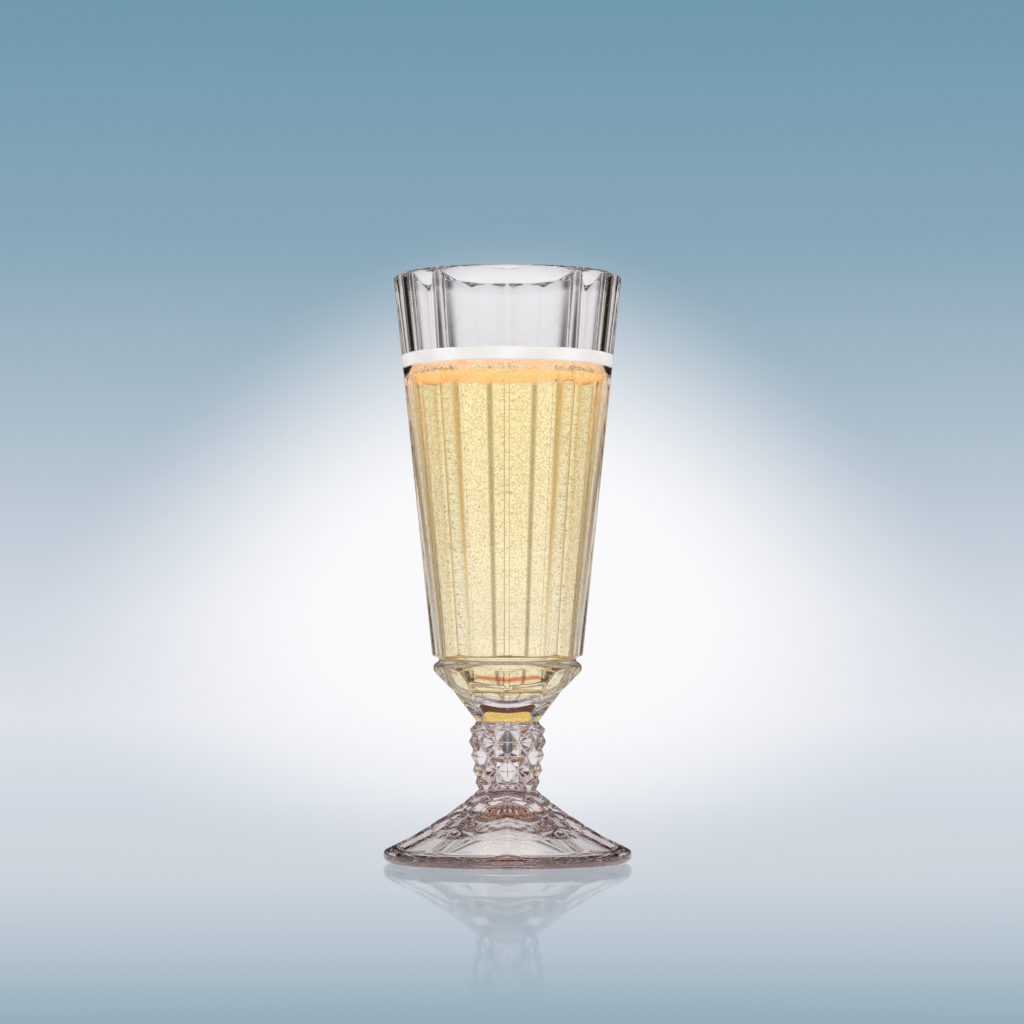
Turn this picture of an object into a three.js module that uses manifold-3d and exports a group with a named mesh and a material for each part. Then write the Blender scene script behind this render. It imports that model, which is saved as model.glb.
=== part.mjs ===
// A footed champagne flute of pressed glass, filled with champagne, standing on the plane z = 0.
// Millimetres, +Z up, origin on the axis at the foot's base. A ridge of every nine-sided part faces -Y.
//
// The glass is three gathers fused in line: a bowl with nine flat panels and two tiers of cut facets
// under it, a knop cut with diamonds, and a terraced nine-sided foot with a hollow underside.
// The drink is two more solids: the champagne, and the foam that floats on it.
import * as THREE from "three";
import { mergeVertices } from "three/addons/utils/BufferGeometryUtils.js";
import Module from "manifold-3d";

const wasm = await Module();
wasm.setup();

// ---- Driving dimensions -------------------------------------------------------------------------
const HEIGHT = 172; // foot to rim
const FACETS = 9; // panels round the bowl, and facets round the foot and under the bowl
const FOOT_RADIUS = 36.1;
const CONTACT_RADIUS = 34.2; // outside of the flat ring that the glass stands on
const HOLLOW_RADIUS = 31; // inside of that ring, where the foot's hollow starts
const HOLLOW_DEPTH = 13.4;
const KNOP_JOINT_Z = 21.4; // where the knop is fused to the foot
const BOWL_JOINT_Z = 41; // where the bowl is fused to the knop
const FOOT_NECK_RADIUS = 8.4;
const BOWL_NECK_RADIUS = 9.2;

const RIM_RIDGE_RADIUS = 34.1; // over the ridges between panels, carried up to the rim's height
const PANEL_FOOT_Z = 60.4; // the panels end here, over the groove
const PANEL_FOOT_RADIUS = 22.5;
const LIP_RADIUS = 30.4; // outer edge of the lip's level top
const MOUTH_RADIUS = 29; // inside of the bowl at the lip
const WELL_RADIUS = 16.6; // inside of the bowl where its round bottom starts
const WELL_Z = 62;
const WELL_DEPTH = 13.4; // the round bottom's depth below WELL_Z

const KNOP_RADIUS = 11.4; // over the points of the widest diamonds
const KNOP_LOW_RADIUS = 9.7; // over the points of the narrowest ones
const DIAMOND_DEPTH = 1.9;
const DIAMOND_HEIGHT = 8.2;
const DIAMOND_Z = 35.1; // centre of the upper row that has a diamond facing -Y

const LIQUID_Z = 145.3; // the champagne's surface, under the foam
const FOAM_TOP_Z = 149;
const GLASS_GAP = 0.3; // the drink is drawn this far inside the glass

// ---- Mesh fineness ------------------------------------------------------------------------------
const ROUND_STEPS = 72; // a multiple of FACETS, so that every panel meets the same facets inside
const SPLINE_STEPS = 2; // in each stretch of a spline
const WELL_STEPS = 8;
const CUT_PAST = 1; // a hollow's cutter stands this far out of the solid

const HALF_FACET = Math.PI / FACETS;
const FRONT = -Math.PI / 2; // the angle of -Y, where the first ridge stands

// ---- Shape helpers ------------------------------------------------------------------------------
const at = (radius, z) => new THREE.Vector2(radius, z);
const mix = (a, b, t) => a + (b - a) * t;

/** A three.js geometry as a manifold solid. */
function solid(geometry) {
  const bare = geometry.clone();
  bare.deleteAttribute("normal");
  bare.deleteAttribute("uv");
  const merged = mergeVertices(bare, 1e-4);
  return new wasm.Manifold(
    new wasm.Mesh({
      numProp: 3,
      vertProperties: new Float32Array(merged.attributes.position.array),
      triVerts: new Uint32Array(merged.index.array),
    }),
  );
}

/** A manifold solid as a named three.js mesh. */
function named(name, body, material) {
  const { vertProperties, triVerts } = body.getMesh();
  const geometry = new THREE.BufferGeometry();
  geometry.setAttribute(
    "position",
    new THREE.BufferAttribute(vertProperties, 3),
  );
  geometry.setIndex(new THREE.BufferAttribute(triVerts, 1));
  geometry.computeVertexNormals();
  const mesh = new THREE.Mesh(geometry, material);
  mesh.name = name;
  return mesh;
}

/** A round solid about Z from an outline of (radius, z) points that runs from the axis to the axis. */
function turned(outline) {
  const geometry = new THREE.LatheGeometry(outline, ROUND_STEPS);
  geometry.rotateX(Math.PI / 2);
  return solid(geometry);
}

/** A smooth stretch of outline through the given (radius, z) points. */
const curved = (...points) =>
  new THREE.SplineCurve(points).getPoints(SPLINE_STEPS * (points.length - 1));

/** A nine-sided frustum with a ridge facing -Y. The radii are over its ridges. */
function frustum(lowRadius, highRadius, lowZ, highZ) {
  const height = highZ - lowZ;
  const geometry = new THREE.CylinderGeometry(
    highRadius,
    lowRadius,
    height,
    FACETS,
  );
  geometry.rotateX(Math.PI / 2);
  geometry.translate(0, 0, lowZ + height / 2);
  return solid(geometry);
}

/** Nine-sided frustums stacked on each other, through (ridge radius, z) points from the bottom up. */
function faceted(corners) {
  let stack = null;
  for (let i = 1; i < corners.length; i++) {
    const [low, high] = [corners[i - 1], corners[i]];
    const tier = frustum(low.x, high.x, low.y, high.y);
    stack = stack ? stack.add(tier) : tier;
  }
  return stack;
}

// ---- Bowl ---------------------------------------------------------------------------------------
const TIER_Z = 49.6; // the small bead between the two tiers of facets under the bowl
const SHOULDER_Z = 57;

/** Radius inside the bowl at height z, above its round bottom. */
const insideRadius = (z) =>
  mix(WELL_RADIUS, MOUTH_RADIUS, (z - WELL_Z) / (HEIGHT - WELL_Z));

/** Radius over the ridges of the bowl's panels at height z. */
const ridgeRadius = (z) =>
  mix(
    PANEL_FOOT_RADIUS,
    RIM_RIDGE_RADIUS,
    (z - PANEL_FOOT_Z) / (HEIGHT - PANEL_FOOT_Z),
  );

/** The bowl's inside from the centre of its bottom up to height z, drawn in by gap. */
function insideOutline(topZ, gap) {
  const bottom = [];
  for (let i = 0; i <= WELL_STEPS; i++) {
    const turn = (i / WELL_STEPS) * (Math.PI / 2);
    bottom.push(
      at(
        (WELL_RADIUS - gap) * Math.sin(turn),
        WELL_Z - (WELL_DEPTH - gap) * Math.cos(turn),
      ),
    );
  }
  return [...bottom, at(insideRadius(topZ) - gap, topZ)];
}

/** The round blank that the bowl's panels and facets are cut on. */
function bowlBlank() {
  return turned([
    at(0, BOWL_JOINT_Z),
    at(BOWL_NECK_RADIUS, BOWL_JOINT_Z),
    at(14.6, 47.8),
    ...curved(at(14.9, 48.5), at(15.7, TIER_Z), at(16, 50.5)),
    at(20.2, 53.8),
    ...curved(at(21.3, 55.4), at(21.6, SHOULDER_Z), at(20.8, 58.6)),
    ...curved(at(19.6, 59), at(19, 59.5), at(19.6, 59.9)),
    ...curved(at(21.4, PANEL_FOOT_Z), at(22.5, 61.1), at(22.9, 62.4)),
    at(ridgeRadius(HEIGHT - 1.9) + 0.2, HEIGHT - 1.9),
    ...curved(
      at(33.2, HEIGHT - 1.5),
      at(32, HEIGHT - 0.6),
      at(LIP_RADIUS, HEIGHT),
    ),
    at(MOUTH_RADIUS, HEIGHT),
    at(0, HEIGHT),
  ]);
}

/** The nine-sided envelope that cuts the bowl's panels and its two tiers of lower facets. */
const bowlFacets = () =>
  faceted([
    at(BOWL_NECK_RADIUS, BOWL_JOINT_Z),
    at(15.9, TIER_Z),
    at(16.3, TIER_Z + 0.4),
    at(23.6, 57.4),
    at(23.6, 59.4),
    at(ridgeRadius(59.4), 59.5),
    at(RIM_RIDGE_RADIUS, HEIGHT),
  ]);

function bowl() {
  const cavity = turned([
    ...insideOutline(HEIGHT, 0),
    at(MOUTH_RADIUS, HEIGHT + CUT_PAST),
    at(0, HEIGHT + CUT_PAST),
  ]);
  return bowlBlank().intersect(bowlFacets()).subtract(cavity);
}

// ---- Knop ---------------------------------------------------------------------------------------
const GROOVE_TWIST = HALF_FACET / (DIAMOND_HEIGHT / 2); // radians for each millimetre up
const GROOVE_STEP = DIAMOND_HEIGHT / 4;
const TAPER_LOW_Z = 23.5; // below here the points stay at KNOP_LOW_RADIUS

/** Radius over the knop's points at height z: a straight taper up to the widest diamonds. */
function pointRadius(z) {
  const climb = (z - TAPER_LOW_Z) / (DIAMOND_Z - TAPER_LOW_Z);
  return mix(
    KNOP_LOW_RADIUS,
    KNOP_RADIUS,
    THREE.MathUtils.clamp(climb, 0, 1),
  );
}

/** A star of nine points with a radius of one, the first point facing -Y. */
function star() {
  const corners = [];
  for (let i = 0; i < 2 * FACETS; i++) {
    const radius = i % 2 ? 1 - DIAMOND_DEPTH / KNOP_RADIUS : 1;
    const angle = FRONT + i * HALF_FACET;
    corners.push(at(radius * Math.cos(angle), radius * Math.sin(angle)));
  }
  return new THREE.Shape(corners);
}

/** A bar with nine V grooves that twist one way. Two of them, crossed, leave the diamonds. */
function groovedBar(hand) {
  const stepsBelow = Math.ceil((DIAMOND_Z - KNOP_JOINT_Z) / GROOVE_STEP);
  const stepsAbove = Math.ceil((BOWL_JOINT_Z - DIAMOND_Z) / GROOVE_STEP);
  const steps = stepsBelow + stepsAbove;
  const geometry = new THREE.ExtrudeGeometry(star(), {
    depth: steps * GROOVE_STEP,
    steps,
    bevelEnabled: false,
  });
  geometry.translate(0, 0, DIAMOND_Z - stepsBelow * GROOVE_STEP);
  const places = geometry.attributes.position;
  const up = new THREE.Vector3(0, 0, 1);
  const place = new THREE.Vector3();
  for (let i = 0; i < places.count; i++) {
    place.fromBufferAttribute(places, i);
    const { z } = place;
    place.applyAxisAngle(up, hand * GROOVE_TWIST * (z - DIAMOND_Z));
    places.setXYZ(i, place.x * pointRadius(z), place.y * pointRadius(z), z);
  }
  return solid(geometry);
}

function knop() {
  const barrel = turned([
    at(0, KNOP_JOINT_Z),
    at(FOOT_NECK_RADIUS, KNOP_JOINT_Z),
    at(9.7, 23.6),
    at(11.6, 34),
    ...curved(at(11.4, 38), at(10.9, 39.3), at(9.4, 40.2)),
    at(BOWL_NECK_RADIUS, BOWL_JOINT_Z),
    at(0, BOWL_JOINT_Z),
  ]);
  return groovedBar(1).intersect(groovedBar(-1)).intersect(barrel);
}

// ---- Foot ---------------------------------------------------------------------------------------
const STEP_HEIGHT = 0.6; // each terrace drops this much at its edge
const STEP_WIDTH = 0.3;
const TERRACES = [at(13, 17.2), at(17.4, 14), at(22.4, 10.9), at(27.8, 7.6)];
const EDGE_Z = 3.8; // the facets run out over the foot's round edge here
const CLEAR_RADIUS = FOOT_RADIUS + 5; // clear of that edge, which stays round

const footFacets = () =>
  faceted([
    at(CLEAR_RADIUS, 0),
    at(CLEAR_RADIUS, 1.4),
    at(FOOT_RADIUS + 0.4, EDGE_Z),
    ...TERRACES.toReversed().flatMap((edge) => [
      at(edge.x + STEP_WIDTH, edge.y - STEP_HEIGHT),
      edge,
    ]),
    at(FOOT_NECK_RADIUS, KNOP_JOINT_Z),
  ]);

function foot() {
  const blank = turned([
    at(0, 0),
    at(CONTACT_RADIUS, 0),
    ...curved(
      at(35.4, 0.35),
      at(FOOT_RADIUS, 1.5),
      at(35.7, 2.9),
      at(34.6, 4.4),
    ),
    at(28.5, 8.5),
    at(8.9, KNOP_JOINT_Z),
    at(0, KNOP_JOINT_Z),
  ]);
  const hollow = turned([
    at(0, -CUT_PAST),
    at(HOLLOW_RADIUS, -CUT_PAST),
    at(HOLLOW_RADIUS, 0),
    ...curved(at(30.6, 1.2), at(22, 6.4), at(12, 11.2), at(0, HOLLOW_DEPTH)),
  ]);
  return blank.intersect(footFacets()).subtract(hollow);
}

// ---- Drink --------------------------------------------------------------------------------------
const champagne = () =>
  turned([...insideOutline(LIQUID_Z, GLASS_GAP), at(0, LIQUID_Z)]);

const foam = () =>
  turned([
    at(0, LIQUID_Z),
    at(insideRadius(LIQUID_Z) - GLASS_GAP, LIQUID_Z),
    at(insideRadius(FOAM_TOP_Z) - GLASS_GAP, FOAM_TOP_Z),
    at(0, FOAM_TOP_Z),
  ]);

// ---- Materials and assembly ---------------------------------------------------------------------
const glassMaterial = () =>
  new THREE.MeshStandardMaterial({
    color: 0xe9e6ea,
    roughness: 0.04,
    metalness: 0,
    transparent: true,
    opacity: 0.35,
  });

const champagneMaterial = () =>
  new THREE.MeshStandardMaterial({
    color: 0xe8d68c,
    roughness: 0.05,
    metalness: 0,
    transparent: true,
    opacity: 0.8,
  });

const foamMaterial = () =>
  new THREE.MeshStandardMaterial({
    color: 0xfbf8f0,
    roughness: 0.6,
    metalness: 0,
  });

const flute = new THREE.Group();
flute.add(
  named("bowl", bowl(), glassMaterial()),
  named("stem_knop", knop(), glassMaterial()),
  named("foot", foot(), glassMaterial()),
  named("champagne", champagne(), champagneMaterial()),
  named("foam", foam(), foamMaterial()),
);

export default flute;
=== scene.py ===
"""The looks of a champagne flute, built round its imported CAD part. Metres, +Z up, foot on z = 0.

The glass is built again as three fine solids (bowl, knop and foot) from the same outlines as the
CAD nodes, with rounded ridges. The champagne fills the bowl and laps a little into the glass, so
that light goes straight from one into the other. Foam, froth and bubbles are separate meshes.
"""

import math

import bpy
import numpy as np
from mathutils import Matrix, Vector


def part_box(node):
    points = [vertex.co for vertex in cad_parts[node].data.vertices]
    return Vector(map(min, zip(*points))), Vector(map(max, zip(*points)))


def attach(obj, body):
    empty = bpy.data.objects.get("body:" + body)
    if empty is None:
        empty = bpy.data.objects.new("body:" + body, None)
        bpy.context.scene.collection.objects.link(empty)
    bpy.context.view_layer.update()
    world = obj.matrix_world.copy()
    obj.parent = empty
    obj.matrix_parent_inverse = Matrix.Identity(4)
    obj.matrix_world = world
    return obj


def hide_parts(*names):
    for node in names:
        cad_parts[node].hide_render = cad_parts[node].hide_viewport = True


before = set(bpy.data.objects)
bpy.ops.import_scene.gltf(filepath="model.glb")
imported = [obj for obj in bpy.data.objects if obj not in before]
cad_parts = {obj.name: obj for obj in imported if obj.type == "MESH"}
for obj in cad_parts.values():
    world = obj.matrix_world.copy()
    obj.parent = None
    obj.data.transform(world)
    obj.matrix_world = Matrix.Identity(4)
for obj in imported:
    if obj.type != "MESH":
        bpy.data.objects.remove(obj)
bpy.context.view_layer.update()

# ---- Places from the frame, in millimetres ------------------------------------------------------
MM = 0.001


def box_mm(node):
    """A CAD node's lowest and highest corners in millimetres."""
    low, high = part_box(node)
    return [v / MM for v in low], [v / MM for v in high]


BOWL_LOW, BOWL_HIGH = box_mm("bowl")
_, FOOT_HIGH = box_mm("foot")
WINE_LOW, WINE_HIGH = box_mm("champagne")
_, FOAM_HIGH = box_mm("foam")

RIM_Z = BOWL_HIGH[2]
BOWL_JOINT_Z = BOWL_LOW[2]
FOOT_JOINT_Z = FOOT_HIGH[2]
FOOT_RADIUS = FOOT_HIGH[0]
LIQUID_Z = WINE_HIGH[2]
FOAM_TOP_Z = FOAM_HIGH[2]
FOAM_DIP = 0.1  # the foam reaches this far into the drink
FOAM_LOW_Z = LIQUID_Z - FOAM_DIP
WELL_BOTTOM_Z = WINE_LOW[2] - 0.3

# ---- Driving sizes, in millimetres --------------------------------------------------------------
FACETS = 9
FACET = 2 * math.pi / FACETS
FRONT = -math.pi / 2  # a ridge faces -Y
LAP = 0.06  # the drink laps this far into the glass
RIDGE_SOFTNESS = 0.35
FOOT_RIDGE_SOFTNESS = 0.3
TURNED_SOFTNESS = 0.05  # where a cut runs out into the turned outline

# Bowl
RIM_RIDGE_RADIUS = 34.1
PANEL_FOOT_Z = 60.4
PANEL_FOOT_RADIUS = 22.5
MOUTH_RADIUS = 29.0
LIP_DEPTH = 4.0  # the mouth is rounded down to here
WELL_RADIUS = 16.6
WELL_Z = 62.0
BOWL_NECK_RADIUS = 9.2
PANEL_LOW_Z = 59.4  # the flat panels start here, and the cone's facets lie below
LIP_MIDDLE_RADIUS = 30.0  # on the flat top of the lip, as far in as the cuts reach
# Height and ridge radius of the cone's facets.
CONE_CUTS = [(BOWL_JOINT_Z, 9.3), (49.6, 15.9), (50.0, 16.3), (57.4, 23.6), (59.2, 25.0)]
BOWL_STEP = 6.0  # rings stand this far apart on the straight wall
BOWL_FINE = [(47, 62.5, 0.36), (168.8, RIM_Z, 0.26)]  # low, high and the finer step between them

# Knop
KNOP_RADIUS = 11.5
KNOP_LOW_RADIUS = 9.8
KNOP_LOW_Z = 23.5
DIAMOND_DEPTH = 1.9
DIAMOND_HEIGHT = 8.2
DIAMOND_Z = 35.1
GROOVE_SOFTNESS = 0.03
KNOP_RINGS = 160

# Foot
FOOT_NECK_RADIUS = 8.4
EDGE_Z = 3.8
EDGE_TOP_Z = 6.2
# Height and ridge radius down the slope.
FOOT_SLOPE = [
    (FOOT_JOINT_Z, FOOT_NECK_RADIUS),
    (17.4, 13.4),
    (14.2, 17.9),
    (11.1, 22.9),
    (7.9, 28.2),
    (EDGE_Z, FOOT_RADIUS + 0.9),
]
# Radius, height and fillet round the rim.
FOOT_EDGE = [
    (31.8, EDGE_TOP_Z, 0),
    (FOOT_RADIUS + 0.1, 3.9, 3.4),
    (FOOT_RADIUS + 0.1, 0.9, 2.0),
    (34.2, 0.0, 1.4),
    (32.0, 0.0, 0),
]
# The same for the hollow underneath.
HOLLOW = [
    (32.0, 0.0, 0),
    (31.4, 0.0, 0.3),
    (30.9, 1.6, 1.0),
    (22.0, 6.4, 8.0),
    (12.0, 11.4, 8.0),
    (4.0, 13.2, 4.0),
    (0.6, 13.4, 0),
]
# Lines cut round the slope: height on a ridge, fall to the middle of a facet, depth.
LIPS = [(20.0, 0.8, 0.3), (17.8, 1.2, 0.38), (14.0, 1.6, 0.42), (10.9, 1.6, 0.42)]
LIP_WIDTH = 0.34
SLOPE_STEP = 0.135

# Drink
BUBBLES = 9900  # in each of the two bubble meshes
BUBBLE_RADII = (0.10, 0.21)
BUBBLE_SEEDS = {"champagne_bubbles": 7, "champagne_fine_bubbles": 8}
BUBBLE_GAP = 0.1  # between a bubble and the wall
BUBBLE_MARGINS = (2.0, 0.5)  # kept clear of bubbles at the bottom and the top of the drink
CLINGING = 0.5  # the share of bubbles that sit on the wall
CROWDING = 0.62  # below 1, bubbles are thicker towards the top
FOAM_BUBBLES = 900
FOAM_SEED = 11
FOAM_BUBBLE_RADII = (0.25, 1.0)
FOAM_BUBBLE_POWER = 1.5  # above 1, more of them are small
FOAM_BUBBLE_SUNK = (0.45, 0.95)  # how far their centres lie below the foam's top, in radii
FROTH_DEPTH = 4.4
FROTH_TOP_GAP = 0.05
FROTH_REACH = (0.1, 0.7)  # how far in from the wall the froth starts and ends

LONG_RUN = 20.0  # a straight stretch taller than this has fine rings at its ends only
TURN_STEPS = 450  # columns round the glass, with one on every ridge
DRINK_STEPS = 360
WELL_BOTTOM_RINGS = 40
WELL_WALL_RINGS = 24
FROTH_RINGS = 14
FOAM_RINGS = 8
DISC_SHARES = (0.97, 0.85, 0.6, 0.3, 0.05)  # the rings of a flat disc, as shares of its radius


# ---- Mesh helpers -------------------------------------------------------------------------------
def mix(a, b, t):
    return a + (b - a) * t


def along(stops, place):
    """The value at a place on the straight lines through rising (place, value) stops."""
    places, values = zip(*stops)
    return np.interp(place, places, values)


def soft_min(a, b, softness):
    """The lesser of a and b, with a rounded change from one to the other."""
    low = np.minimum(a, b)
    return low - softness * np.log1p(np.exp(-np.abs(a - b) / softness))


def angles(steps=TURN_STEPS):
    return FRONT + np.arange(steps) * 2 * math.pi / steps


def from_ridge(turn):
    """The angle from the nearest ridge."""
    return np.abs((turn - FRONT + FACET / 2) % FACET - FACET / 2)


def nonagon(turn, ridge_radius, softness):
    """Distance from the axis to a nine-sided outline, with its ridges rounded."""
    offset = from_ridge(turn)
    middle = ridge_radius * math.cos(FACET / 2)
    near = middle / np.cos(FACET / 2 - offset)
    far = middle / np.cos(np.minimum(FACET / 2 + offset, 1.2))
    return soft_min(near, far, softness)


def fillet_arc(before, here, after, fillet, step):
    """Points on the arc that rounds the corner here between its two neighbours."""
    before = before - here
    after = after - here
    length_before = np.linalg.norm(before)
    length_after = np.linalg.norm(after)
    before /= length_before
    after /= length_after
    half = math.acos(np.clip(before @ after, -1, 1)) / 2
    reach = min(fillet / math.tan(half), 0.48 * length_before, 0.48 * length_after)
    radius = reach * math.tan(half)
    centre = here + (before + after) / np.linalg.norm(before + after) * radius / math.sin(half)
    start = here + before * reach - centre
    end = here + after * reach - centre
    sweep = math.pi - 2 * half
    pieces = max(2, math.ceil(radius * sweep / step))
    points = []
    for k in range(pieces + 1):
        t = k / pieces
        blend = (math.sin((1 - t) * sweep) * start + math.sin(t * sweep) * end) / math.sin(sweep)
        points.append(centre + blend)
    return points


def rounded(corners, step):
    """A dense outline through (radius, height, fillet) corners, with the fillets drawn as arcs."""
    places = [np.array(corner[:2], float) for corner in corners]
    points = []
    for i, (_, _, fillet) in enumerate(corners):
        if fillet <= 0 or i in (0, len(corners) - 1):
            points.append(places[i])
        else:
            points += fillet_arc(places[i - 1], places[i], places[i + 1], fillet, step)
    return np.array(points)


def divided(outline, step):
    """The same outline with no stretch longer than step."""
    points = [outline[0]]
    for a, b in zip(outline[:-1], outline[1:]):
        pieces = max(1, math.ceil(np.linalg.norm(b - a) / step))
        points += [a + (b - a) * (k + 1) / pieces for k in range(pieces)]
    return np.array(points)


def fine_near(outline, zones, step):
    """The outline with rings no further apart than each zone's step inside its heights."""
    points = [outline[0]]
    for a, b in zip(outline[:-1], outline[1:]):
        here = step
        for low, high, fine in zones:
            if min(a[1], b[1]) < high and max(a[1], b[1]) > low:
                here = min(here, fine)
        if here < step and abs(b[1] - a[1]) > LONG_RUN:
            points += long_run(a, b, zones, step)
            continue
        pieces = max(1, math.ceil(np.linalg.norm(b - a) / here))
        points += [a + (b - a) * (k + 1) / pieces for k in range(pieces)]
    return np.array(points)


def long_run(a, b, zones, step):
    """Points after a up to b, close together only inside the zones."""
    heights = [a[1]]
    while heights[-1] < b[1] - 1e-6:
        z = heights[-1]
        gap = step
        for low, high, fine in zones:
            if low <= z < high:
                gap = fine
            elif z < low:
                gap = min(gap, max(low - z, fine))
        heights.append(min(z + gap, b[1]))
    return [a + (b - a) * (z - a[1]) / (b[1] - a[1]) for z in heights[1:]]


def new_object(name, points, faces):
    """A smooth-shaded mesh object from points in millimetres."""
    mesh = bpy.data.meshes.new(name)
    mesh.from_pydata((np.asarray(points) * MM).tolist(), [], faces)
    mesh.update()
    mesh.polygons.foreach_set("use_smooth", [True] * len(mesh.polygons))
    obj = bpy.data.objects.new(name, mesh)
    bpy.context.scene.collection.objects.link(obj)
    return obj


def band(low, high, steps):
    """The faces between two rings of points that start at numbers low and high."""
    faces = []
    for k in range(steps):
        n = (k + 1) % steps
        faces.append((low + k, low + n, high + n, high + k))
    return faces


def loft(name, rings, steps=TURN_STEPS):
    """A closed solid from rings of (radii, height), between two points on the axis."""
    turn = angles(steps)
    points = [(0.0, 0.0, float(rings[0][1]))]
    for radii, z in rings:
        r = np.broadcast_to(radii, turn.shape)
        points += np.stack([r * np.cos(turn), r * np.sin(turn), np.full(steps, z)], 1).tolist()
    points.append((0.0, 0.0, float(rings[-1][1])))
    last = len(points) - 1
    last_ring = last - steps
    faces = [(0, 1 + (k + 1) % steps, 1 + k) for k in range(steps)]
    for ring in range(len(rings) - 1):
        low = 1 + ring * steps
        faces += band(low, low + steps, steps)
    faces += [(last, last_ring + k, last_ring + (k + 1) % steps) for k in range(steps)]
    middles = [(float(np.mean(radii)), z) for radii, z in rings]
    upward = sum((a[0] + b[0]) * (b[1] - a[1]) for a, b in zip(middles[:-1], middles[1:]))
    if upward < 0:  # the rings run down the outside, so the faces are turned to face out
        faces = [face[::-1] for face in faces]
    return new_object(name, points, faces)


def tube_ring(name, rings, steps):
    """A closed solid round the axis from a closed loop of (radius, height)."""
    turn = angles(steps)
    points = []
    faces = []
    for ring, (r, z) in enumerate(rings):
        points += np.stack([r * np.cos(turn), r * np.sin(turn), np.full(steps, z)], 1).tolist()
        faces += band(ring * steps, (ring + 1) % len(rings) * steps, steps)
    return new_object(name, points, faces)


def mark_flat(obj, heights, slot_index):
    """Gives the flat faces at these heights a material of their own."""
    for face in obj.data.polygons:
        if any(abs(face.center.z / MM - z) < 0.01 for z in heights) and abs(face.normal.z) > 0.99:
            face.material_index = slot_index


# ---- Bowl ---------------------------------------------------------------------------------------
def inside_radius(z):
    return mix(WELL_RADIUS, MOUTH_RADIUS, (z - WELL_Z) / (RIM_Z - WELL_Z))


def ridge_radius(z):
    return mix(PANEL_FOOT_RADIUS, RIM_RIDGE_RADIUS, (z - PANEL_FOOT_Z) / (RIM_Z - PANEL_FOOT_Z))


def well_outline(top_z, grow):
    """The inside of the bowl from the axis up to top_z, let out by grow."""
    depth = WELL_Z - WELL_BOTTOM_Z
    bottom = [
        ((WELL_RADIUS + grow) * math.sin(t), WELL_Z - (depth + grow) * math.cos(t))
        for t in np.linspace(0, math.pi / 2, WELL_BOTTOM_RINGS)
    ]
    heights = np.linspace(WELL_Z, top_z, WELL_WALL_RINGS)[1:]
    wall = [(inside_radius(z) + grow, z) for z in heights]
    return np.array(bottom + wall)


def bowl_cut(z):
    """Ridge radius of the flat cuts on the bowl at height z."""
    return ridge_radius(z) if z > PANEL_LOW_Z else float(along(CONE_CUTS, z))


def bowl_blank():
    """The turned outline before the cuts: the cone, its bead, the panelled wall and the lip."""
    lip_low_z = RIM_Z - LIP_DEPTH
    corners = [
        (BOWL_NECK_RADIUS, BOWL_JOINT_Z, 0),
        (14.6, 47.9, 0.8),
        (15.6, 49.4, 0.8),
        (16.4, 50.5, 0.8),
        (21.6, 55.0, 2.0),
        (21.7, 57.6, 1.6),
        (19.1, 59.5, 0.9),
        (22.2, 60.4, 0.9),
        (23.2, 62.6, 1.0),
        (ridge_radius(169.9) + 0.35, 169.9, 0.5),
        (32.6, RIM_Z - 0.75, 1.6),
        (30.6, RIM_Z, 0.7),
        (MOUTH_RADIUS, RIM_Z, 0.6),
        (inside_radius(lip_low_z), lip_low_z, 0),
    ]
    return rounded(corners, 0.2)


def make_bowl():
    blank = bowl_blank()
    lip = int(np.argmin(np.hypot(blank[:, 0] - LIP_MIDDLE_RADIUS, blank[:, 1] - RIM_Z)))
    outside = fine_near(blank[: lip + 1], BOWL_FINE, BOWL_STEP)
    turn = angles()
    rings = []
    for r, z in outside:
        cut = nonagon(turn, bowl_cut(z), RIDGE_SOFTNESS)
        rings.append((soft_min(np.full_like(turn, r), cut, TURNED_SOFTNESS), z))
    rings += [tuple(place) for place in blank[lip + 1 :]]
    rings += [tuple(place) for place in well_outline(RIM_Z - LIP_DEPTH, 0)[::-1][1:-1]]
    rings.append((0.4, WELL_BOTTOM_Z))
    return loft("glass_bowl", rings)


# ---- Knop ---------------------------------------------------------------------------------------
def make_knop():
    """The barrel with nine V grooves twisted each way, which leave a lattice of pyramids."""
    turn = angles()
    barrel = rounded(
        [
            (FOOT_NECK_RADIUS, FOOT_JOINT_Z, 0),
            (9.8, 23.8, 0.5),
            (11.7, 34.0, 2.0),
            (11.5, 38.6, 0.8),
            (9.5, 40.2, 0.5),
            (BOWL_NECK_RADIUS, BOWL_JOINT_Z, 0),
        ],
        0.1,
    )
    rings = [(0.5 * FOOT_NECK_RADIUS, FOOT_JOINT_Z)]
    for z in np.linspace(FOOT_JOINT_Z, BOWL_JOINT_Z, KNOP_RINGS):
        climb = np.clip((z - KNOP_LOW_Z) / (DIAMOND_Z - KNOP_LOW_Z), 0, 1)
        points = mix(KNOP_LOW_RADIUS, KNOP_RADIUS, climb)
        grooves = []
        for hand in (1, -1):
            phase = ((turn - FRONT) / FACET + hand * (z - DIAMOND_Z) / DIAMOND_HEIGHT) % 1
            grooves.append(np.abs(phase - np.round(phase)) * 2)  # 0 on a point, 1 in a groove
        deep = -soft_min(-grooves[0], -grooves[1], GROOVE_SOFTNESS)
        limit = np.interp(z, barrel[:, 1], barrel[:, 0])
        radii = soft_min(points - DIAMOND_DEPTH * deep, np.full_like(turn, limit), TURNED_SOFTNESS)
        rings.append((radii, z))
    rings.append((0.5 * BOWL_NECK_RADIUS, BOWL_JOINT_Z))
    return loft("glass_knop", rings)


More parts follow.
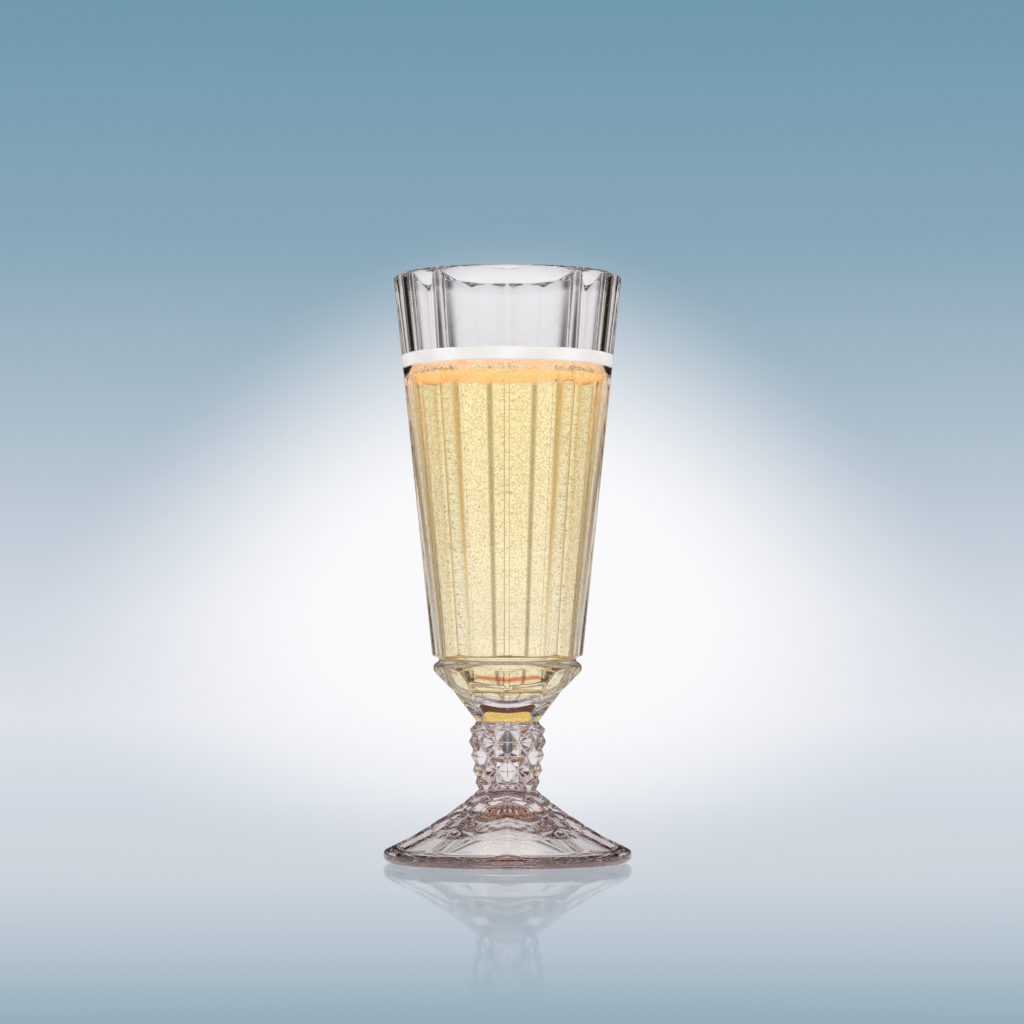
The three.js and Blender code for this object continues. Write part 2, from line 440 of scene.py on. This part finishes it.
# ---- Foot ---------------------------------------------------------------------------------------
def foot_relief(z, offset):
    """How deep the scalloped lines are cut at height z, by angle from the nearest ridge."""
    middle = np.clip(offset / (FACET / 2), 0, 1)
    depth = np.zeros_like(offset)
    for lip_z, fall, cut in LIPS:
        above = z - (lip_z - fall * middle)
        depth += cut * np.exp(-((above / LIP_WIDTH) ** 2))
    return depth


def make_foot():
    turn = angles()
    offset = from_ridge(turn)
    edge = rounded(FOOT_EDGE, 0.2)
    rings = [(0.5 * FOOT_NECK_RADIUS, FOOT_JOINT_Z)]
    for z in np.arange(FOOT_JOINT_Z, EDGE_Z - 0.01, -SLOPE_STEP):
        radii = nonagon(turn, float(along(FOOT_SLOPE[::-1], z)), FOOT_RIDGE_SOFTNESS)
        radii -= foot_relief(z, offset)
        if z < EDGE_TOP_Z:
            limit = np.interp(z, edge[::-1, 1], edge[::-1, 0])
            radii = soft_min(radii, np.full_like(turn, limit), TURNED_SOFTNESS)
        rings.append((radii, z))
    rings += [(r, z) for r, z in edge if z < EDGE_Z - 0.1]
    rings += [(r, z) for r, z in divided(rounded(HOLLOW, 0.4), 0.8)[1:]]
    return loft("glass_foot", rings)


# ---- Drink --------------------------------------------------------------------------------------
def make_champagne():
    rings = [(r, z) for r, z in well_outline(LIQUID_Z, LAP)[1:]]
    radius = rings[-1][0]
    rings += [(radius * share, LIQUID_Z) for share in DISC_SHARES]
    return loft("champagne_fill", rings, DRINK_STEPS)


def icosahedron():
    """Corners on the unit sphere and triangles of an icosahedron, facing out."""
    golden = (1 + 5**0.5) / 2
    corners = []
    for a in (-1, 1):
        for b in (-golden, golden):
            corners += [(0, a, b), (a, b, 0), (b, 0, a)]
    corners = np.array(corners) / math.hypot(1, golden)
    triangles = []
    for i in range(12):
        for j in range(i + 1, 12):
            for k in range(j + 1, 12):
                p, q, r = corners[i], corners[j], corners[k]
                if max(np.linalg.norm(p - q), np.linalg.norm(q - r), np.linalg.norm(r - p)) < 1.1:
                    out = np.dot(np.cross(q - p, r - p), p) > 0
                    triangles.append((i, j, k) if out else (i, k, j))
    return corners, np.array(triangles)


def split_sphere(corners, triangles):
    """The same sphere with each triangle split in four."""
    corners = [tuple(c) for c in corners]
    places = {c: i for i, c in enumerate(corners)}
    split = []
    for i, j, k in triangles:
        middles = []
        for a, b in ((i, j), (j, k), (k, i)):
            middle = np.array(corners[a]) + np.array(corners[b])
            middle = tuple(np.round(middle / np.linalg.norm(middle), 9))
            if middle not in places:
                places[middle] = len(corners)
                corners.append(middle)
            middles.append(places[middle])
        m, n, o = middles
        split += [(i, m, o), (m, j, n), (o, n, k), (m, n, o)]
    return np.array(corners), np.array(split)


def balls(name, centres, radii, shape):
    """One mesh of many small closed balls."""
    corners, triangles = shape
    points = centres[:, None, :] + radii[:, None, None] * corners[None]
    shifts = np.arange(len(centres))[:, None, None] * len(corners)
    faces = (triangles[None] + shifts).reshape(-1, 3)
    return new_object(name, points.reshape(-1, 3), faces.tolist())


def round_axis(reach, turn, height):
    return np.stack([reach * np.cos(turn), reach * np.sin(turn), height], 1)


def make_bubbles(name, seed):
    """Fine bubbles, thicker towards the top. Half of them cling to the wall."""
    random = np.random.default_rng(seed)
    height = mix(WELL_BOTTOM_Z, LIQUID_Z, random.random(BUBBLES) ** CROWDING)
    height = np.clip(height, WELL_BOTTOM_Z + BUBBLE_MARGINS[0], LIQUID_Z - BUBBLE_MARGINS[1])
    radius = random.uniform(*BUBBLE_RADII, BUBBLES)
    dome = np.clip((WELL_Z - height) / (WELL_Z - WELL_BOTTOM_Z), 0, 1)
    wall = np.where(height > WELL_Z, inside_radius(height), WELL_RADIUS * np.sqrt(1 - dome**2))
    reach = wall - radius - BUBBLE_GAP
    clings = random.random(BUBBLES) < CLINGING
    share = np.where(clings, 1.0, np.sqrt(random.random(BUBBLES)))
    turn = random.uniform(0, 2 * math.pi, BUBBLES)
    return balls(name, round_axis(reach * share, turn, height), radius, icosahedron())


def make_froth():
    """The loose collar of bubbles that hangs in the drink just under the foam, along the wall."""
    outer, inner = FROTH_REACH
    heights = np.linspace(LIQUID_Z - FROTH_DEPTH, LIQUID_Z - FROTH_TOP_GAP, FROTH_RINGS)
    rings = [(inside_radius(z) - outer, z) for z in heights]
    rings += [(inside_radius(z) - inner, z) for z in heights[::-1]]
    return tube_ring("champagne_froth", rings, DRINK_STEPS)


def make_foam():
    low = inside_radius(LIQUID_Z) + LAP
    high = inside_radius(FOAM_TOP_Z) + LAP
    rings = [(low * share, FOAM_LOW_Z) for share in reversed(DISC_SHARES)]
    rings.append((low, FOAM_LOW_Z))
    climb = np.linspace(0.1, 1, FOAM_RINGS)
    rings += [(mix(low, high, t), mix(LIQUID_Z, FOAM_TOP_Z, t)) for t in climb]
    rings += [(high * share, FOAM_TOP_Z) for share in DISC_SHARES]
    return loft("champagne_foam", rings, DRINK_STEPS)


def make_foam_bubbles():
    """The burst and swollen bubbles on top of the foam, as half-sunk white balls."""
    random = np.random.default_rng(FOAM_SEED)
    radius = random.uniform(*FOAM_BUBBLE_RADII, FOAM_BUBBLES) ** FOAM_BUBBLE_POWER
    reach = inside_radius(FOAM_TOP_Z) - radius - BUBBLE_GAP
    share = np.sqrt(random.random(FOAM_BUBBLES))
    turn = random.uniform(0, 2 * math.pi, FOAM_BUBBLES)
    height = FOAM_TOP_Z - radius * random.uniform(*FOAM_BUBBLE_SUNK, FOAM_BUBBLES)
    centres = round_axis(reach * share, turn, height)
    return balls("foam_bubbles", centres, radius, split_sphere(*icosahedron()))


# ---- Materials ----------------------------------------------------------------------------------
# Clear materials: index of refraction, tint, how dense the tint is for each metre, and roughness.
BOWL_GLASS = (1.51, (0.82, 0.74, 0.80), 6.0, 0.0)
BASE_GLASS = (1.51, (0.74, 0.50, 0.54), 13.0, 0.035)
CHAMPAGNE = (1.34, (0.99, 0.82, 0.02), 15.5, 0.0)
BUBBLE_IOR = 1.13  # less than a real bubble's contrast, so that thousands of them stay clear
BUBBLE_PATCHES = 900.0  # how fine the patches of clear and gold bubbles are
BUBBLE_TINTS = [(0.35, (1, 1, 1, 1)), (0.5, (1.0, 0.98, 0.90, 1)), (0.62, (1.0, 0.93, 0.74, 1))]
FROTH_TINTS = [(0.3, (255, 240, 222)), (0.5, (255, 222, 184)), (0.68, (252, 196, 140))]
FROTH_FINE = (1400.0, 2.0, 1.6)  # noise scale, detail and how ragged it makes the froth
FROTH_BROAD = (170.0, 3.0, 1.3)
FROTH_COVER = (0.3, 0.8, 0.0, 0.92)
# Painted glow: the froth gives off this light though it is no lamp. It stands in for light
# scattered through the drink.
FROTH_GLOW = (255, 206, 166)
FROTH_GLOW_STRENGTH = 0.5
FOAM_ROUGHNESS = 0.6
FOAM_WHITE = (0.97, 0.96, 0.94)
# Painted shade: a darker copy of the foam white for the foam's top and the balls on it. They get
# more light through the open mouth than the sides get through the glass.
FOAM_TOP_SHADED_WHITE = (0.74, 0.73, 0.71)
# Painted glow: the foam's underside gives off this light, though it is no lamp, in place of light
# carried up through the drink.
UNDERSIDE_GLOW = (240, 240, 255)  # the light that the drink carries up to the foam
UNDERSIDE_GLOW_STRENGTH = 0.42


def linear(colour):
    """A display colour of 0 to 255 as linear RGBA."""
    shares = [c / 255 for c in colour]
    return (*[c / 12.92 if c <= 0.04045 else ((c + 0.055) / 1.055) ** 2.4 for c in shares], 1.0)


class Tree:
    """Short ways to add and join nodes in one node tree."""

    def __init__(self, tree):
        tree.nodes.clear()
        self.tree = tree

    def add(self, kind, inputs=None, **settings):
        made = self.tree.nodes.new(kind)
        for key, value in settings.items():
            setattr(made, key, value)
        for key, value in (inputs or {}).items():
            if isinstance(value, bpy.types.NodeSocket):
                self.tree.links.new(value, made.inputs[key])
            else:
                made.inputs[key].default_value = value
        return made

    def math(self, operation, *values):
        return self.add("ShaderNodeMath", dict(enumerate(values)), operation=operation).outputs[0]

    def spread(self, value, low, high, to_low=0.0, to_high=1.0, **settings):
        """Value carried from low..high to to_low..to_high, and held at the ends."""
        inputs = {0: value, 1: low, 2: high, 3: to_low, 4: to_high}
        return self.add("ShaderNodeMapRange", inputs, **settings).outputs[0]

    def blend(self, share, a, b, mode="MIX"):
        """Colour a with a share of colour b mixed in or multiplied."""
        return self.add(
            "ShaderNodeMix", {0: share, 6: a, 7: b}, data_type="RGBA", blend_type=mode
        ).outputs[2]

    def either(self, share, a, b):
        """Shader a with a share of shader b."""
        return self.add("ShaderNodeMixShader", {0: share, 1: a, 2: b}).outputs[0]

    def light(self, colour, strength=1.0):
        return self.add("ShaderNodeBackground", {0: colour, 1: strength}).outputs[0]

    def ramp(self, value, stops):
        """A colour ramp over value, whose stops are (place, colour) in value's own units."""
        low, high = stops[0][0], stops[-1][0]
        ramp = self.add("ShaderNodeValToRGB", {0: self.spread(value, low, high)})
        elements = ramp.color_ramp.elements
        while len(elements) < len(stops):
            elements.new(0.5)
        for element, (place, colour) in zip(elements, stops):
            element.position = (place - low) / (high - low)
            element.color = colour
        return ramp.outputs[0]

    def here(self):
        """The place on the object, in metres."""
        return self.add("ShaderNodeTexCoord").outputs["Object"]

    def noise(self, scale, detail):
        inputs = {"Vector": self.here(), "Scale": scale, "Detail": detail}
        return self.add("ShaderNodeTexNoise", inputs).outputs[0]

    def principled(self, **inputs):
        """A Principled shader. Its inputs are named with _ for spaces."""
        named = {key.replace("_", " "): value for key, value in inputs.items()}
        return self.add("ShaderNodeBsdfPrincipled", named).outputs[0]

    def clear(self):
        return self.add("ShaderNodeBsdfTransparent").outputs[0]

    def finish(self, surface, volume=None):
        inputs = {"Surface": surface}
        if volume is not None:
            inputs["Volume"] = volume
        self.add("ShaderNodeOutputMaterial", inputs)


def new_material(name):
    material = bpy.data.materials.new(name)
    material.use_nodes = True
    return material, Tree(material.node_tree)


def clear_material(name, ior, colour, density, roughness):
    """Clear glass or drink that tints what is seen through a long way of it."""
    material, tree = new_material(name)
    surface = tree.principled(
        Base_Color=(1, 1, 1, 1), Roughness=roughness, IOR=ior, Transmission_Weight=1.0
    )
    tint = tree.add("ShaderNodeVolumeAbsorption", {"Color": (*colour, 1), "Density": density})
    tree.finish(surface, tint.outputs[0])
    return material


def bubble_material():
    """Weakly bending balls, some clear and some gold."""
    material, tree = new_material("bubble")
    tint = tree.ramp(tree.noise(BUBBLE_PATCHES, 0.0), BUBBLE_TINTS)
    tree.finish(
        tree.principled(Base_Color=tint, Roughness=0.0, IOR=BUBBLE_IOR, Transmission_Weight=1.0)
    )
    return material


def froth_material():
    """Peach bubbles that thin out downwards in ragged blotches."""
    material, tree = new_material("froth")
    height = tree.add("ShaderNodeSeparateXYZ", {0: tree.here()}).outputs[2]
    fine_scale, fine_detail, fine_strength = FROTH_FINE
    broad_scale, broad_detail, broad_strength = FROTH_BROAD
    fine = tree.noise(fine_scale, fine_detail)
    broad = tree.noise(broad_scale, broad_detail)
    cover = tree.spread(height, (LIQUID_Z - FROTH_DEPTH) * MM, LIQUID_Z * MM)
    for noise, strength in ((broad, broad_strength), (fine, fine_strength)):
        ragged = tree.math("MULTIPLY", tree.math("SUBTRACT", noise, 0.5), strength)
        cover = tree.math("ADD", cover, ragged)
    cover = tree.spread(cover, *FROTH_COVER)
    peach = tree.ramp(broad, [(place, linear(colour)) for place, colour in FROTH_TINTS])
    # The emission here is a painted glow in place of light scattered through the drink.
    bubbles = tree.principled(
        Base_Color=peach,
        Roughness=FOAM_ROUGHNESS,
        Emission_Color=linear(FROTH_GLOW),
        Emission_Strength=FROTH_GLOW_STRENGTH,
    )
    tree.finish(tree.either(cover, tree.clear(), bubbles))
    return material


def unseen_material(name):
    """Lets everything through, as where two pieces of glass are fused in one."""
    material, tree = new_material(name)
    tree.finish(tree.clear())
    return material


# Where glow and strength are given, they paint a glow into the foam that no lamp casts.
def foam_material(name, colour, glow=(0, 0, 0), strength=0.0):
    material, tree = new_material(name)
    tree.finish(
        tree.principled(
            Base_Color=(*colour, 1),
            Roughness=FOAM_ROUGHNESS,
            Emission_Color=linear(glow),
            Emission_Strength=strength,
        )
    )
    return material


# ---- Stage --------------------------------------------------------------------------------------
# What the camera sees behind the glass, by elevation, in display colours of 0 to 255.
BACKDROP = [
    (-12.0, (128, 156, 172)),
    (-5.9, (150, 175, 189)),
    (-3.7, (194, 207, 218)),
    (-1.2, (222, 226, 233)),
    (0.6, (207, 214, 224)),
    (3.4, (172, 190, 204)),
    (6.2, (137, 168, 185)),
    (9.9, (111, 153, 175)),
    (30.0, (84, 126, 150)),
]
# The white glow behind the glass, in degrees.
GLOW_COLOUR = (250, 250, 252)
GLOW_ELEVATION = 0.4
GLOW_WIDTH = 6.9
GLOW_NARROWING = 0.42  # how much narrower the glow gets for each degree up
GLOW_RISE = 5.4
GLOW_FALL = 4.0
GLOW_REPEAT = 45.0  # so that it stands behind the glass from the main sides
GLOW_EDGE = (1.15, 0.35)  # where the glow starts and where it is full, as shares of its reach

# The studio that the glass bends and mirrors inside: first its bright field, by degrees away from
# straight behind the glass, in display colours.
FIELD = [
    (0, (255, 255, 255)),
    (12, (252, 251, 250)),
    (20, (246, 244, 240)),
    (25, (240, 236, 228)),
    (28, (224, 208, 172)),
    (31, (220, 204, 170)),
    (34, (238, 230, 214)),
    (50, (226, 216, 202)),
    (58, (236, 231, 226)),
    (90, (244, 243, 243)),
    (180, (250, 250, 250)),
]
# The share of that light left at each elevation. The warm dark bands are gaps between softboxes.
LIFT = [
    (-90, (0.20, 0.09, 0.07)),
    (-72, (0.20, 0.09, 0.07)),
    (-66, (1.0, 0.97, 0.98)),
    (-61, (0.04, 0.015, 0.02)),
    (-53, (0.04, 0.015, 0.02)),
    (-50.5, (0.9, 0.86, 0.88)),
    (-48, (0.04, 0.015, 0.02)),
    (-38, (0.04, 0.015, 0.02)),
    (-33.5, (1.0, 0.98, 0.99)),
    (-29.5, (0.10, 0.04, 0.045)),
    (-25, (0.10, 0.04, 0.045)),
    (-23, (1.0, 0.98, 0.99)),
    (-6, (0.98, 0.97, 0.98)),
    (2.0, (0.80, 0.81, 0.83)),
    (5.0, (1.10, 1.08, 1.06)),
    (11, (1.15, 1.13, 1.09)),
    (16, (0.98, 0.95, 0.93)),
    (19.6, (1.0, 0.97, 0.95)),
    (20.2, (0.85, 0.25, 0.10)),
    (21.2, (0.85, 0.25, 0.10)),
    (21.8, (1.0, 0.98, 0.97)),
    (29.5, (1.0, 0.98, 0.98)),
    (31.5, (0.08, 0.03, 0.02)),
    (36, (0.08, 0.03, 0.02)),
    (40.5, (0.55, 0.5, 0.52)),
    (45, (0.05, 0.02, 0.02)),
    (66, (0.05, 0.02, 0.02)),
    (70, (0.6, 0.56, 0.58)),
    (73, (0.6, 0.56, 0.58)),
    (76, (0.20, 0.09, 0.07)),
    (90, (0.20, 0.09, 0.07)),
]
CLEAR = (1, 1, 1)
SILVER = (0.8, 0.8, 0.82)
PEWTER = (0.75, 0.75, 0.76)
SLATE = (0.08, 0.08, 0.09)
BLACK = (0.004, 0.004, 0.006)
BROWN = (0.12, 0.05, 0.04)
UMBER = (0.03, 0.012, 0.01)
AMBER = (0.32, 0.25, 0.18)
GOLD = (0.86, 0.72, 0.42)
# Belts of flags: lowest and highest elevation, then degrees from straight behind and the share of
# light left there.
BELTS = [
    (
        (-6.5, 3.0),
        [
            (0, CLEAR), (12, (0.95, 0.95, 0.96)), (15, (0.7, 0.7, 0.72)), (18, (0.38, 0.39, 0.41)),
            (21, (0.2, 0.21, 0.23)), (23.5, (0.08, 0.09, 0.10)), (25.5, (0.12, 0.12, 0.14)),
            (27, (0.5, 0.5, 0.52)), (28.5, (0.6, 0.6, 0.6)), (30, (0.3, 0.3, 0.31)),
            (33, SLATE), (36, BLACK), (48, BLACK), (52, SLATE), (55, (0.4, 0.41, 0.42)),
            (60, (0.55, 0.56, 0.58)), (64, UMBER), (70, UMBER), (73, SILVER), (84, SILVER),
            (88, AMBER), (97, AMBER), (100, SILVER), (114, SILVER), (118, UMBER), (127, UMBER),
            (131, CLEAR), (146, CLEAR), (150, UMBER), (157, UMBER), (161, CLEAR),
        ],
    ),
    (
        (3.2, 9.8),
        [
            (0, CLEAR), (27, CLEAR), (28.5, GOLD), (31, GOLD), (33, CLEAR), (56, (0.9, 0.9, 0.9)),
            (61, (0.5, 0.5, 0.5)), (66, UMBER), (74, UMBER), (78, PEWTER), (92, PEWTER),
            (96, AMBER), (108, AMBER), (112, PEWTER), (128, PEWTER), (132, UMBER), (142, UMBER),
            (146, CLEAR), (180, CLEAR),
        ],
    ),
    (
        (11.5, 29.5),
        [
            (0, CLEAR), (22.5, CLEAR), (24, UMBER), (30, UMBER), (32, CLEAR), (36, CLEAR),
            (38, BROWN), (47, BROWN), (50, CLEAR), (180, CLEAR),
        ],
    ),
    (
        (-22.0, -7.0),
        [
            (0, CLEAR), (8.5, CLEAR), (9.5, BROWN), (13, BROWN), (14, CLEAR), (18.5, CLEAR),
            (20, UMBER), (24, UMBER), (26, CLEAR), (29, CLEAR), (31, UMBER), (37, UMBER),
            (39, CLEAR), (43, CLEAR), (45, UMBER), (52, UMBER), (55, CLEAR), (180, CLEAR),
        ],
    ),
]
BELT_EDGE = 0.7  # degrees of soft edge
# Thin dark gaps in the field, seen only through the drink: degrees from straight behind and half
# the width.
GAPS = [(8.6, 0.8), (-6.1, 0.8)]
GAP_LIGHT = (0.40, 0.34, 0.26)
DRINK_DEPTH = 4.5  # light that has come through more faces than this has been through the drink
DRY_LIGHT = (0.83, 0.84, 0.87)  # the share of the studio's light that empty glass gets
STEEP = (-42, -50)  # degrees; from here down, light that is only bent sees the backdrop
GLASS_MIRRORS = (0.10, 0.06, 0.07)  # what the outsides of the glass mirror, a dark room
FLOOR_MIRRORS = (0.70, 0.70, 0.74)  # what the polished floor mirrors
FOAM_LIGHT = 1.72  # the soft light that white foam gets

# Light turns many times inside faceted glass, so its paths are left long.
LIGHT_BOUNCES = 32
MIRROR_BOUNCES = 8

# The floor and the clear sheet on it, in millimetres.
FLOOR_RADIUS = 600.0
FLOOR_Z = -0.04
SHEET_Z = -0.02
FLOOR_CORNERS = 96
FLOOR_FADE = (0.03, 0.42, 0.5, 0.0)  # from and to in metres, and the share mirrored at each
FLOOR_ROUGHNESS = 0.03

CAMERA_PLACE = (0.0013, -1.077, 0.0647)
CAMERA_TILT = 2.0  # degrees up
CAMERA_LENS = 129.4
CAMERA_SENSOR = 36.0


def backdrop_colour(tree, elevation, azimuth):
    """A blue-grey backdrop with a white glow that narrows upwards."""
    turned = tree.math("PINGPONG", azimuth, GLOW_REPEAT / 2)
    height = tree.math("SUBTRACT", elevation, GLOW_ELEVATION)
    higher = tree.math("MAXIMUM", height, 0.0)
    narrowing = tree.math("MULTIPLY", higher, GLOW_NARROWING)
    across = tree.math("DIVIDE", turned, tree.math("SUBTRACT", GLOW_WIDTH, narrowing))
    above = tree.math("DIVIDE", higher, GLOW_RISE)
    below = tree.math("DIVIDE", tree.math("MINIMUM", height, 0.0), GLOW_FALL)
    upright = tree.math("SUBTRACT", above, below)
    squares = tree.math("ADD", tree.math("POWER", across, 2.0), tree.math("POWER", upright, 2.0))
    reach = tree.math("SQRT", squares)
    glow = tree.spread(reach, *GLOW_EDGE, interpolation_type="SMOOTHSTEP")
    plain = tree.ramp(elevation, [(place, linear(colour)) for place, colour in BACKDROP])
    return tree.blend(glow, plain, linear(GLOW_COLOUR))


def studio_colour(tree, path, elevation, azimuth, backdrop):
    """The bright field with its flags, gaps and softboxes, as light inside the glass sees it."""
    aside = tree.math("ABSOLUTE", azimuth)
    field = tree.ramp(aside, [(place, linear(colour)) for place, colour in FIELD])
    for (low, high), stops in BELTS:
        shade = tree.ramp(aside, [(place, (*share, 1)) for place, share in stops])
        off = tree.math("ABSOLUTE", tree.math("SUBTRACT", elevation, (low + high) / 2))
        half = (high - low) / 2
        belt = tree.spread(off, half - BELT_EDGE, half + BELT_EDGE, 1.0, 0.0)
        field = tree.blend(belt, field, shade, "MULTIPLY")
    faces = path.outputs["Transmission Depth"]
    through_drink = tree.math("GREATER_THAN", faces, DRINK_DEPTH)
    for place, half in GAPS:
        off = tree.math("ABSOLUTE", tree.math("SUBTRACT", azimuth, place))
        dark = tree.spread(off, half * 0.5, half * 1.5, 1.0, 0.0)
        gap = tree.math("MULTIPLY", dark, through_drink)
        field = tree.blend(gap, field, (*GAP_LIGHT, 1), "MULTIPLY")
    lift = tree.ramp(elevation, [(place, (*share, 1)) for place, share in LIFT])
    field = tree.blend(1.0, field, lift, "MULTIPLY")
    only_bent = tree.math("LESS_THAN", path.outputs["Glossy Depth"], 0.5)
    ground = tree.math("MULTIPLY", tree.spread(elevation, *STEEP), only_bent)
    field = tree.blend(ground, field, backdrop)
    dry = tree.math("SUBTRACT", 1.0, through_drink)
    return tree.blend(dry, field, (*DRY_LIGHT, 1), "MULTIPLY")


def make_world():
    """A backdrop for the camera, a studio for light in the glass, and plain light for the rest."""
    world = bpy.data.worlds.new("studio")
    bpy.context.scene.world = world
    world.use_nodes = True
    tree = Tree(world.node_tree)
    path = tree.add("ShaderNodeLightPath")
    direction = tree.add("ShaderNodeTexCoord").outputs["Generated"]
    x, y, z = tree.add("ShaderNodeSeparateXYZ", {0: direction}).outputs
    to_degrees = 180 / math.pi
    elevation = tree.math("MULTIPLY", tree.math("ARCSINE", z), to_degrees)
    azimuth = tree.math("MULTIPLY", tree.math("ARCTAN2", x, y), to_degrees)

    backdrop = backdrop_colour(tree, elevation, azimuth)
    studio = studio_colour(tree, path, elevation, azimuth, backdrop)
    matte = tree.math("GREATER_THAN", path.outputs["Diffuse Depth"], 0.5)
    light = tree.either(matte, tree.light(studio), tree.light((1, 1, 1, 1), FOAM_LIGHT))
    # Every path that meets the floor passes the clear sheet that lies on it.
    by_floor = tree.math("GREATER_THAN", path.outputs["Transparent Depth"], 0.5)
    mirrored = tree.light(tree.blend(by_floor, (*GLASS_MIRRORS, 1), (*FLOOR_MIRRORS, 1)))
    outside = tree.math("LESS_THAN", path.outputs["Transmission Depth"], 0.5)
    outside = tree.math("MULTIPLY", outside, tree.math("SUBTRACT", 1.0, matte))
    light = tree.either(outside, light, mirrored)
    seen = tree.either(path.outputs["Is Camera Ray"], light, tree.light(backdrop))
    tree.add("ShaderNodeOutputWorld", {0: seen})


def floor_disc(name, z, material):
    points = [
        (FLOOR_RADIUS * math.cos(a), FLOOR_RADIUS * math.sin(a), z)
        for a in np.linspace(0, 2 * math.pi, FLOOR_CORNERS, endpoint=False)
    ]
    disc = new_object(name, points, [tuple(range(FLOOR_CORNERS))])
    disc.data.materials.append(material)


def make_floor():
    """A polished floor that mirrors the glass near its foot and elsewhere shows the backdrop."""
    material, tree = new_material("floor")
    distance = tree.add("ShaderNodeVectorMath", {0: tree.here()}, operation="LENGTH")
    share = tree.spread(distance.outputs["Value"], *FLOOR_FADE)
    mirror = tree.add(
        "ShaderNodeBsdfGlossy", {"Color": (1, 1, 1, 1), "Roughness": FLOOR_ROUGHNESS}
    )
    tree.finish(tree.either(share, tree.clear(), mirror.outputs[0]))
    floor_disc("floor", FLOOR_Z, material)
    floor_disc("floor_sheet", SHEET_Z, unseen_material("clear_sheet"))


def make_camera():
    data = bpy.data.cameras.new("camera")
    data.lens = CAMERA_LENS
    data.sensor_width = CAMERA_SENSOR
    data.clip_start = 0.05
    data.clip_end = 50.0
    camera = bpy.data.objects.new("camera", data)
    bpy.context.scene.collection.objects.link(camera)
    camera.location = CAMERA_PLACE
    camera.rotation_euler = (math.radians(90 + CAMERA_TILT), 0, 0)
    bpy.context.scene.camera = camera


def set_light_paths():
    scene = bpy.context.scene
    scene.view_settings.view_transform = "Standard"
    scene.cycles.max_bounces = LIGHT_BOUNCES
    scene.cycles.glossy_bounces = MIRROR_BOUNCES
    scene.cycles.transmission_bounces = LIGHT_BOUNCES
    scene.cycles.transparent_max_bounces = LIGHT_BOUNCES


# ---- Assembly -----------------------------------------------------------------------------------
def add_piece(piece, slot, *materials, replaces=None):
    """Gives a piece its materials, hangs it on the part and hides the CAD node that it replaces.
    """
    for material in materials:
        piece.data.materials.append(material)
    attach(piece, "root")
    if replaces:
        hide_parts(replaces)


def make_glass():
    bowl_glass = clear_material("pressed_glass", *BOWL_GLASS)
    base_glass = clear_material("pressed_glass_thick", *BASE_GLASS)
    joint = unseen_material("fused_joint")
    for node, piece, glass, joints in (
        ("bowl", make_bowl(), bowl_glass, [BOWL_JOINT_Z]),
        ("stem_knop", make_knop(), base_glass, [BOWL_JOINT_Z, FOOT_JOINT_Z]),
        ("foot", make_foot(), base_glass, [FOOT_JOINT_Z]),
    ):
        add_piece(piece, "glass", glass, joint, replaces=node)
        mark_flat(piece, joints, 1)


def make_drink():
    champagne = clear_material("champagne", *CHAMPAGNE)
    add_piece(make_champagne(), "champagne", champagne, replaces="champagne")
    gas = bubble_material()
    for name, seed in BUBBLE_SEEDS.items():
        add_piece(make_bubbles(name, seed), "champagne", gas)
    add_piece(make_froth(), "foam", froth_material())

    white = foam_material("foam", FOAM_WHITE)
    # The foam's underside is a glowing copy of the foam, a painted glow.
    underside = foam_material(
        "foam_underside_painted_glow", FOAM_WHITE, UNDERSIDE_GLOW, UNDERSIDE_GLOW_STRENGTH
    )
    # The flat top of the foam gets the darker copy of the foam white, a painted shade.
    top = foam_material("foam_top_painted_shade", FOAM_TOP_SHADED_WHITE)
    foam = make_foam()
    add_piece(foam, "foam", white, underside, top, replaces="foam")
    mark_flat(foam, [FOAM_LOW_Z], 1)
    mark_flat(foam, [FOAM_TOP_Z], 2)
    # The balls on the foam share the painted shade of its top.
    add_piece(make_foam_bubbles(), "foam", top)


make_camera()
make_world()
make_floor()
set_light_paths()
make_glass()
make_drink()
